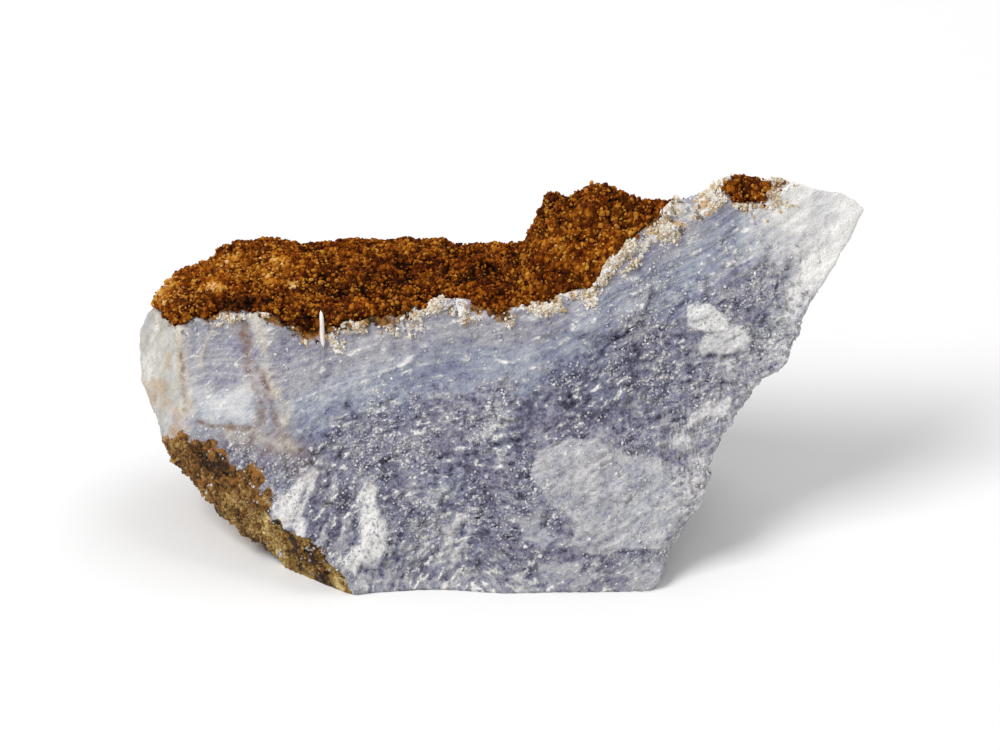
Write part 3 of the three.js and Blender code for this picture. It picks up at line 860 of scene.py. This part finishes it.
def quartzMaterial():
    t = Tree("bandedQuartz")
    look = quartzLook
    contrast, fringe, olive = t.mask("contrast"), t.mask("fringe"), t.mask("olive")
    band = t.mask("band") + t.noise(3.5) * 0.5 + t.noise(0.8, 2) * 0.14

    # the bands: broad and fine lines along the height above the smooth band's edge
    broad, fine = t.swing(1.0, 3, 0.6, at=band, lines=True), t.swing(0.3, 2, 0.6, at=band, lines=True)
    white = t.mask("white") + (broad * 0.55 + fine * 0.6) * look["lineDepth"] * t.mask("lining")

    # grain of three sizes, the middle one drawn out along the bands: lighter where the quartz is bruised
    flow = t.mask("flow") + t.swing(1.6, 2) * 0.7
    drawn = t.node("CombineXYZ", 0, {0: t.axis(0) * 500, 1: flow * 1.2, 2: t.axis(1) * 900})
    grain = t.noise(0.52, 4, 0.62, at=drawn) * 0.55 + t.noise(0.46, 4, 0.66) * 0.45
    fineGrain = t.noise(0.13, 2, 0.6)
    # the grain's low places are also sunk by the height below, so their darker tone is partly painted shade
    grains = (grain - 0.5) * look["grain"] + t.swing(1.5, 3, 0.6) * look["cloud"]
    white = white + (grains + (fineGrain - 0.5) * look["fine"]) * contrast
    crowd = t.mask("crowd") * 0.1 + t.swing(1.2, 2, 0.6, at=flow, lines=True) * 0.22
    flecks = t.span(grain + crowd, 0.59, 0.635) * t.span(contrast, 0.3, 0.9, 0.4, 1)
    # the pits are darkened further: painted shade in the grain's hollows
    paintedPitShade = t.span(grain, 0.42, 0.37) * contrast
    white = white + flecks * look["fleck"] - paintedPitShade * look["pitShade"]
    tint = t.mix(t.span(t.mask("blue") + t.swing(2.2), 0.1, 0.9), look["warmTint"], look["blueTint"])
    body = t.mix(t.span(white, 0.95, 0.55), t.ramp(white, look["tones"]), tint, "MULTIPLY")

    # flats, rubble and seams over it, their edges broken up by the grain
    salt = t.span(grain, 0.38, 0.62, 0.82, 1.14, "LINEAR")
    pale = t.mix(t.span(t.noise(2.6, 4, 0.65), 0.5, 0.64), look["paleFlat"], look["paleTan"])
    pale = t.shaded(pale, salt * t.span(t.noise(1.1, 4), 0.3, 0.7, 0.84, 1.1))
    body = t.mix(t.mask("onPale") * t.span(t.noise(1.7, 4), 0.36, 0.58, 0.35, 0.9), body, pale)
    for name, broken in (("rubble", t.span(grain, 0.4, 0.6, 0.75, 0.15)),
                         ("creamSeam", t.span(grain, 0.42, 0.56, 0.35, 0.85)),
                         ("brownSeam", t.span(t.noise(0.5, 4, 0.7), 0.36, 0.6, 1, 0.35))):
        body = t.mix(t.mask(name) * broken, body, t.shaded(look[name], salt))

    # the fringe: cream, orange and white crystals, with painted shade in the gaps between them under the
    # crust's edge
    crystals = t.mix(t.span(t.noise(0.9), 0.42, 0.6), look["cream"], look["orange"])
    crystals = t.mix(t.span(t.noise(0.5), 0.44, 0.56), crystals, look["white"])
    body = t.mix(t.span(fringe + t.swing(0.4, 4, 0.7) * 2, 0.35, 0.7) * 0.9, body, crystals)
    gapShade = t.span(fringe, 0.1, 0.5) * t.span(t.noise(0.55, 3, 0.7), 0.47, 0.4)
    body = t.mix(gapShade * 0.8, body, look["jointDarkAndGapShade"])

    # the rusty joint, brown above and olive below, with dark and pale streaks
    joint = t.mix(t.span(olive + t.swing(2.5), 0.1, 0.9), look["jointBrown"], look["jointOlive"])
    streak = t.mask("jointStreak") * 0.5 + t.swing(0.8, 5, 0.7) * 2.6
    joint = t.mix(t.span(streak, -0.02, -0.4), joint, look["jointDarkAndGapShade"])
    joint = t.mix(t.span(streak, 0.02, 0.36) * t.span(olive, 0, 0.75), joint, look["jointPale"])
    stain = t.span(t.mask("stain") + t.swing(0.7, 4, 0.7) * 1.3, 0.36, 0.6)
    body = t.mix(stain, body, t.shaded(joint, t.span(t.noise(0.3, 3, 0.7), 0.35, 0.65, 0.65, 1.3)))

    # the same grain stands up a little, and every grain has a facet of its own
    height = grain * t.span(contrast, 0.3, 1, 0.5, 1.2) + fineGrain * 0.25 + flecks * 0.2
    facets = t.facets(look["facet"], t.span(contrast, 0.3, 1, 0.15, 0.7))
    normal = t.vectors("NORMALIZE", {0: t.vectors("ADD", {0: t.bump(height, 0.35), 1: facets})})
    return t.finish({
        "Base Color": body, "Normal": normal, "Roughness": t.span(stain, 0, 1, 0.38, 0.9), "IOR": 1.54,
        "Subsurface Weight": t.span(stain, 0, 1, 0.18, 0), "Subsurface Radius": (1.0, 0.95, 1.0),
        "Subsurface Scale": 0.35 * mm,
    })


def rustMaterial(name, cloud):
    # each grain's own tone, with clouds of a finer size in it, from nearly black pits to golden tops
    t = Tree(name)
    shade = t.ramp(t.mask("tone") + t.swing(cloud, 4, 0.7) * 0.5, rustLook["tones"])
    body = t.mix(t.span(t.noise(2.6), 0.42, 0.62, 0, 0.8), shade, rustLook["redTint"], "MULTIPLY")
    normal = t.bump(t.noise(0.12, 3, 0.65), 0.06)
    return t.finish({"Base Color": body, "Normal": normal, "Roughness": 0.95, "Specular IOR Level": 0.06})


def crystalMaterial(name, kit):
    # each crystal's own tone, with light going a little way in
    t = Tree(name)
    return t.finish({
        "Base Color": t.ramp(t.mask("tone"), kit["tones"]), "Roughness": kit["rough"],
        "Subsurface Weight": kit["depth"], "Subsurface Radius": (1.0, 1.0, 1.0), "Subsurface Scale": 0.4 * mm,
    })


print("stage 4: the stone's and the crust's meshes")
masks = dict(band=band, flow=flow, white=white, contrast=contrast, crowd=crowd, lining=lining, blue=blue,
             fringe=fringe, stain=stain, jointStreak=jointStreak, olive=olive, rubble=rubble, onPale=onPale,
             brownSeam=brownSeam, creamSeam=creamSeam)
agate = makeMesh("agateStone", flatten(points), closedGrid(points), quartzMaterial(),
                 {key: flatten(values) for key, values in masks.items()}, True)
sheetVertices = np.concatenate([sheetPoints.reshape(-1, 3), [sheetKit["inside"]]])
crustPiece = makeMesh("ironCrust", sheetVertices, openGrid(*sheetTone.shape), rustMaterial("rustCrust", 0.25),
                      {"tone": np.append(sheetTone.ravel(), sheetKit["insideTone"])}, True)


def scatter(grid, weight, count):
    # picks squares of a grid at random, in proportion to their weight times their area, and a place in
    # each: corner + f row step + g column step
    alongStep = np.diff(grid[:, :-1], axis=0)
    aroundStep = np.diff(grid[:-1], axis=1)
    chance = (weight[:-1, :-1] * np.linalg.norm(np.cross(alongStep, aroundStep), axis=-1)).ravel()
    row, column = np.divmod(rng.choice(chance.size, count, p=chance / chance.sum()), grid.shape[1] - 1)
    f, g = rng.uniform(size=(2, count, 1))
    return row, column, grid[row, column] + f * alongStep[row, column] + g * aroundStep[row, column]


def ring(count, radius, height=0.0, shift=0):
    # points evenly round a level circle, the first turned by so many degrees
    turn = np.radians(shift + 360 / count * np.arange(count))
    return np.stack([radius * np.cos(turn), radius * np.sin(turn), 0 * turn + height], -1)


def ringBall():
    # the smallest grid that looks round: two rings of five points, half a step apart, and two poles
    z = 1 / np.sqrt(5)
    vertices = np.concatenate([[[0, 0, 1]], ring(5, 2 * z, z), ring(5, 2 * z, -z, 36), [[0, 0, -1]]])
    k = np.arange(5)
    n = (k + 1) % 5
    faces = triangles((0, 1 + k, 1 + n), (1 + k, 6 + k, 1 + n), (1 + n, 6 + k, 6 + n), (11, 6 + n, 6 + k))
    return vertices, faces


def crystal():
    # a short six-sided crystal with a point at each end
    vertices = np.concatenate([[[0, 0, 1.6]], ring(6, 1), [[0, 0, -1.6]]])
    k = np.arange(6)
    n = (k + 1) % 6
    return vertices, triangles((0, 1 + k, 1 + n), (7, 1 + n, 1 + k))


def turns(count):
    # random turns as matrices, from unit quaternions of four normal draws
    w, x, y, z = unit(rng.normal(size=(count, 4))).T
    return np.array([[1 - 2 * (y * y + z * z), 2 * (x * y - z * w), 2 * (x * z + y * w)],
                     [2 * (x * y + z * w), 1 - 2 * (x * x + z * z), 2 * (y * z - x * w)],
                     [2 * (x * z - y * w), 2 * (y * z + x * w), 1 - 2 * (x * x + y * y)]]).transpose(2, 0, 1)


def grains(name, kit, shape, surface, toneGrid, material):
    # copies of one small shape at scattered places: place + sunk along the normal + turn (shape x size x
    # jitter)
    grid, gridNormals, weight = surface
    count = kit["count"]
    row, column, place = scatter(grid, weight, count)
    size = np.minimum(kit["size"] * np.exp(kit["sizeSpread"] * rng.normal(size=count)), kit["largest"])
    vertices, faces = shape
    jitter = 1 + kit["jitter"] * rng.uniform(-1, 1, (count, len(vertices), 1))
    stretch = 1 + kit["jitter"] * rng.uniform(-1, 1, (count, 1, 3))
    local = np.einsum("nij,nvj->nvi", turns(count), vertices[None] * jitter * stretch) * size[:, None, None]
    centre = place + gridNormals[row, column] * (kit["sunk"] * size)[:, None]
    placed = centre[:, None] + local
    placed[..., 2] = np.maximum(placed[..., 2], 0.01)
    index = faces[None] + (np.arange(count) * len(vertices))[:, None, None]
    tone = toneGrid[row, column] + kit["toneSpread"] * rng.uniform(-1, 1, count)
    tone = np.repeat(tone, len(vertices))
    return makeMesh(name, placed.reshape(-1, 3), index.reshape(-1, 3), material, {"tone": tone}, False)


needle = {
    "top": (-13.4, 5.9), "bottom": (-13.2, 3.1), "radius": 0.18, "bend": 0.025,
    "lift": (0.34, 0.06),                             # how high its ends lie above the skin
    "sides": 6, "steps": 12,
    "tones": ((0.0, colour(246, 230, 220)), (1.0, colour(255, 250, 244))), "rough": 0.3, "depth": 0.3,
}


def needleCrystal(kit):
    # a six-sided rod down the face: it lies on the skin at a falling height, bends a little to the side as
    # sin(2 pi s), and its radius is 1 - (2s - 1)^6 of the full one, with small hills
    s = np.linspace(0, 1, kit["steps"])[:, None]
    place = np.array(kit["top"]) + s * (np.array(kit["bottom"]) - np.array(kit["top"]))
    bend = kit["bend"] * np.sin(2 * np.pi * s)
    start = faceOrigin + (place[:, :1] + bend) * [1, 0, 0] + place[:, 1:] * riseAxis - 2 * outAxis
    path = pushOut(start, np.broadcast_to(1.6 * outAxis, start.shape))
    path += (kit["lift"][0] + s * (kit["lift"][1] - kit["lift"][0])) * outAxis
    angle = np.radians(360 / kit["sides"] * np.arange(kit["sides"]))[None, :, None]
    around = np.cos(angle) * [1, 0, 0] + np.sin(angle) * outAxis
    radius = kit["radius"] * (1 - 0.999 * (2 * s - 1) ** 6)[..., None]
    grid = path[:, None] + radius * around * (1 + 0.15 * hills(path[:, None] + around, 0.5))[..., None]
    tone = flatten(0.6 + 0.5 * hills(grid, 0.6))
    material = crystalMaterial("needleQuartz", kit)
    return makeMesh("needleCrystal", flatten(grid), closedGrid(grid), material, {"tone": tone}, True)


# for each scattering: how many, the mean half size, its spread and the largest, how uneven, how deep each
# sits as a share of its size, and how far the tones spread
crumbKit = {
    "count": 8500, "size": 0.1, "sizeSpread": 0.35, "largest": 0.26, "jitter": 0.3, "sunk": -0.1,
    "toneSpread": 0.28,
}
jointKit = {
    "count": 4500, "size": 0.1, "sizeSpread": 0.35, "largest": 0.24, "jitter": 0.3, "sunk": -0.15,
    "toneSpread": 0.3, "rough": 0.9, "depth": 0.0,
    "tones": ((0.0, colour(44, 25, 8)), (0.45, colour(118, 78, 30)), (1.0, colour(196, 168, 104))),
}
sugarKit = {
    "count": 12000, "size": 0.075, "sizeSpread": 0.3, "largest": 0.17, "jitter": 0.25, "sunk": -0.1,
    "toneSpread": 0.5, "rough": 0.3, "depth": 0.3,
    "tones": ((0.0, colour(150, 150, 164)), (0.6, colour(196, 195, 202)), (1.0, colour(236, 234, 232))),
}
creamKit = {
    "count": 3200, "size": 0.09, "sizeSpread": 0.35, "largest": 0.2, "jitter": 0.3, "sunk": 0.1,
    "toneSpread": 0.5, "rough": 0.3, "depth": 0.3,
    "tones": ((0.0, colour(186, 140, 78)), (0.35, colour(228, 214, 186)), (1.0, colour(250, 247, 241))),
}

print("stage 5: crumbs and crystals")
needlePiece = needleCrystal(needle)
clear = ease(0.8, 2.0, base[..., 2])  # none close to the foot
middleTone = np.full(across.shape, 0.5)
crumbSpread = ease(-1.0, 0.3, sheetDepth) ** 3
jointSpread = clear * ease(0.45, 0.8, stain) * (1 - crustMask) * ease(-0.6, 0.4, humps(1.1)) + 1e-9
sugarSpread = contrast ** 2 * (0.15 + np.clip(crowd, 0, 1) + np.clip(white, 0, 1)) * (1 - crustMask)
sugarSpread *= (1 - 0.9 * stain) * (1 - flats) * clear * ease(-0.5, 0.5, humps(1.7)) * (1 - 0.8 * frost)
creamSpread = clear * fringe ** 1.5 * (1 - crustMask) * onFront * ease(-0.3, 0.4, humps(0.8)) + 1e-9
# the crumbs on the crust take its lighter and darker parts, that painted shadow as well
crumbPiece = grains("crustCrumbs", crumbKit, ringBall(), (spillPoints, sheetNormals, crumbSpread),
                    0.5 + 0.8 * glow, rustMaterial("rustCrumb", 0.4))
jointPiece = grains("jointCrumbs", jointKit, ringBall(), (points, normals, jointSpread),
                    0.32 + 0.33 * olive + 0.3 * jointStreak, crystalMaterial("jointGrain", jointKit))
sugarPiece = grains("quartzCrystals", sugarKit, crystal(), (points, normals, sugarSpread), middleTone,
                    crystalMaterial("quartzCrystal", sugarKit))
creamPiece = grains("creamCrystals", creamKit, crystal(), (points, normals, creamSpread), middleTone,
                    crystalMaterial("creamCrystal", creamKit))

for piece in (agate, crustPiece, crumbPiece, jointPiece, sugarPiece, creamPiece, needlePiece):
    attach(piece, "root")
    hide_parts("agate")


def aimed(thing, place, target):
    # stands a lamp or the camera at a place and turns it towards the target
    thing.location = place
    thing.rotation_euler = (Vector(target) - thing.location).to_track_quat("-Z", "Y").to_euler()
    return thing


print("stage 6: floor, light and camera")
studio = {
    "floorHalf": 0.6, "floorColour": (0.88, 0.88, 0.88, 1), "floorRough": 0.8,
    "world": 0.4,                                     # how bright the even light from all round is
    # each lamp's name, place, size and power
    "lamps": (("keyLight", (-0.35, -0.15, 0.55), 0.3, 3.2), ("topLight", (0.25, 0.3, 0.6), 0.4, 1.5)),
    "lampsAim": (0, 0, 0.01),
    "cameraAway": 0.6, "lens": 292.0, "aim": (0, 0, 0.0118),  # the camera looks straight at the broad front
}
h = studio["floorHalf"]
floorMesh = bpy.data.meshes.new("floor")
floorMesh.from_pydata([(-h, -h, 0), (h, -h, 0), (h, h, 0), (-h, h, 0)], [], [(0, 1, 2, 3)])
floorFinish = {"Base Color": studio["floorColour"], "Roughness": studio["floorRough"]}
floorMesh.materials.append(Tree("paleFloor").finish(floorFinish))
addObject("floor", floorMesh)

world = bpy.data.worlds.new("studio")
world.use_nodes = True
world.node_tree.nodes["Background"].inputs["Color"].default_value = (1, 1, 1, 1)
world.node_tree.nodes["Background"].inputs["Strength"].default_value = studio["world"]
bpy.context.scene.world = world
bpy.context.scene.view_settings.view_transform = "Standard"

for name, place, size, power in studio["lamps"]:
    lamp = bpy.data.lights.new(name, "AREA")
    lamp.shape = "SQUARE"
    lamp.size = size
    lamp.energy = power
    aimed(addObject(name, lamp), place, studio["lampsAim"])

lens = bpy.data.cameras.new("camera")
lens.lens = studio["lens"]
lens.clip_start = 0.01
lens.clip_end = 10
cameraPlace = Vector(studio["aim"]) + studio["cameraAway"] * Vector(outAxis)
bpy.context.scene.camera = aimed(addObject("camera", lens), cameraPlace, studio["aim"])
